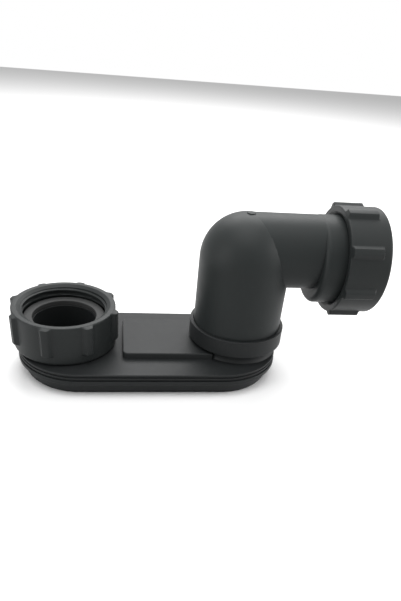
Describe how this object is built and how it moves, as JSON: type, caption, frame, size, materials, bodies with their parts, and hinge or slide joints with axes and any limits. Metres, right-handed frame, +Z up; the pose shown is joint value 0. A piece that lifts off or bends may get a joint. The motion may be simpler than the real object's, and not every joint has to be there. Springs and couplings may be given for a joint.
{
  "type": "bath trap",
  "caption": "Low flat bath trap: a ribbed union nut stands at one end of a shallow round-ended tray and a swivel elbow with a ribbed compression nut at the other.",
  "frame": {"origin": "on the inlet axis, at the underside of the tray", "axes": "+Z up, +X from the inlet towards the outlet, along the tray and the elbow's arm at rest"},
  "size_m": [0.2011, 0.0726, 0.0992],
  "materials": {
    "tray_shell": "matte charcoal",
    "elbow_plastic": "matte charcoal",
    "nut_plastic": "satin charcoal",
    "seal_rubber": "dull dark grey",
    "ring_plastic": "natural"
  },
  "bodies": {
    "tray": {"tray_base": "tray_shell", "tray_cover": "tray_shell", "inlet_washer": "seal_rubber"},
    "inlet_nut": {"inlet_nut": "nut_plastic"},
    "elbow": {"outlet_elbow": "elbow_plastic", "elbow_seal_ring": "seal_rubber", "outlet_seal": "seal_rubber"},
    "slip_ring": {"outlet_slip_ring": "ring_plastic"},
    "outlet_nut": {"outlet_nut": "nut_plastic"}
  },
  "joints": [
    {"name": "inlet_nut_spin", "type": "hinge", "parent": "tray", "child": "inlet_nut", "pos_m": [0, 0, 0.01495], "axis": [0, 0, 1], "continuous": true},
    {"name": "elbow_swivel", "type": "hinge", "parent": "tray", "child": "elbow", "pos_m": [0.0995, 0, 0.0298], "axis": [0, 0, 1], "range_deg": [-150, 150]},
    {"name": "outlet_slip_slide", "type": "slide", "parent": "elbow", "child": "slip_ring", "axis": [1, 0, 0], "range_m": [0, 0.0065]},
    {"name": "outlet_nut_turn", "type": "hinge", "parent": "slip_ring", "child": "outlet_nut", "pos_m": [0.1479, 0, 0.0689], "axis": [1, 0, 0], "range_deg": [0, 720]}
  ],
  "couplings": [
    {"joint": "outlet_slip_slide", "follows": "outlet_nut_turn", "m_per_rad": 0.0005093}
  ]
}
